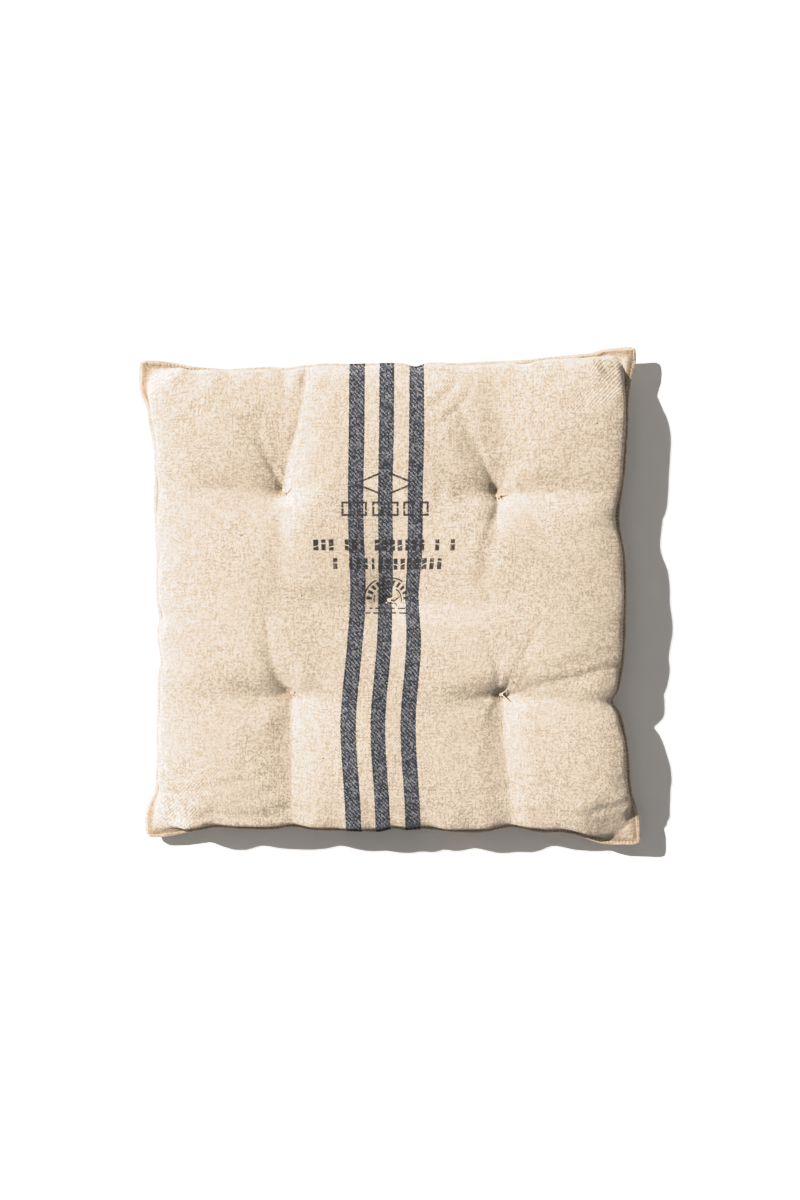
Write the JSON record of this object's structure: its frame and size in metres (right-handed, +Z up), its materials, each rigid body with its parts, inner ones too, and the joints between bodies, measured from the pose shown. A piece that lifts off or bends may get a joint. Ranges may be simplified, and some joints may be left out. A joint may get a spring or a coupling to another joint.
{
  "type": "floor cushion",
  "caption": "Square tufted floor cushion in striped cotton twill with a narrow stitched flange, pointed corners and knotted cord ties.",
  "frame": {"origin": "on the floor under the middle of the cushion", "axes": "+Z up through the cushion, +Y to the back edge along the stripes, +X to the right edge"},
  "size_m": [0.46, 0.46, 0.0628],
  "materials": {
    "top_twill": "undyed cotton twill with dark woven stripes and faded stencil marks",
    "under_twill": "undyed cotton twill with dark woven stripes",
    "wadding": "matte cotton fleece",
    "stitch_thread": "spun cotton thread",
    "tuft_cord": "soft twisted cotton cord"
  },
  "bodies": {
    "root": {"top_panel": "top_twill", "bottom_panel": "under_twill", "top_wadding": "wadding", "middle_wadding": "wadding", "bottom_wadding": "wadding", "needle_thread": "stitch_thread", "bobbin_thread": "stitch_thread", "assembly_seam_thread": "stitch_thread", "closing_stitches": "stitch_thread", "tuft_tie_centre": "tuft_cord", "tuft_tie_back_left": "tuft_cord", "tuft_tie_back_right": "tuft_cord", "tuft_tie_front_left": "tuft_cord", "tuft_tie_front_right": "tuft_cord"}
  },
  "joints": []
}
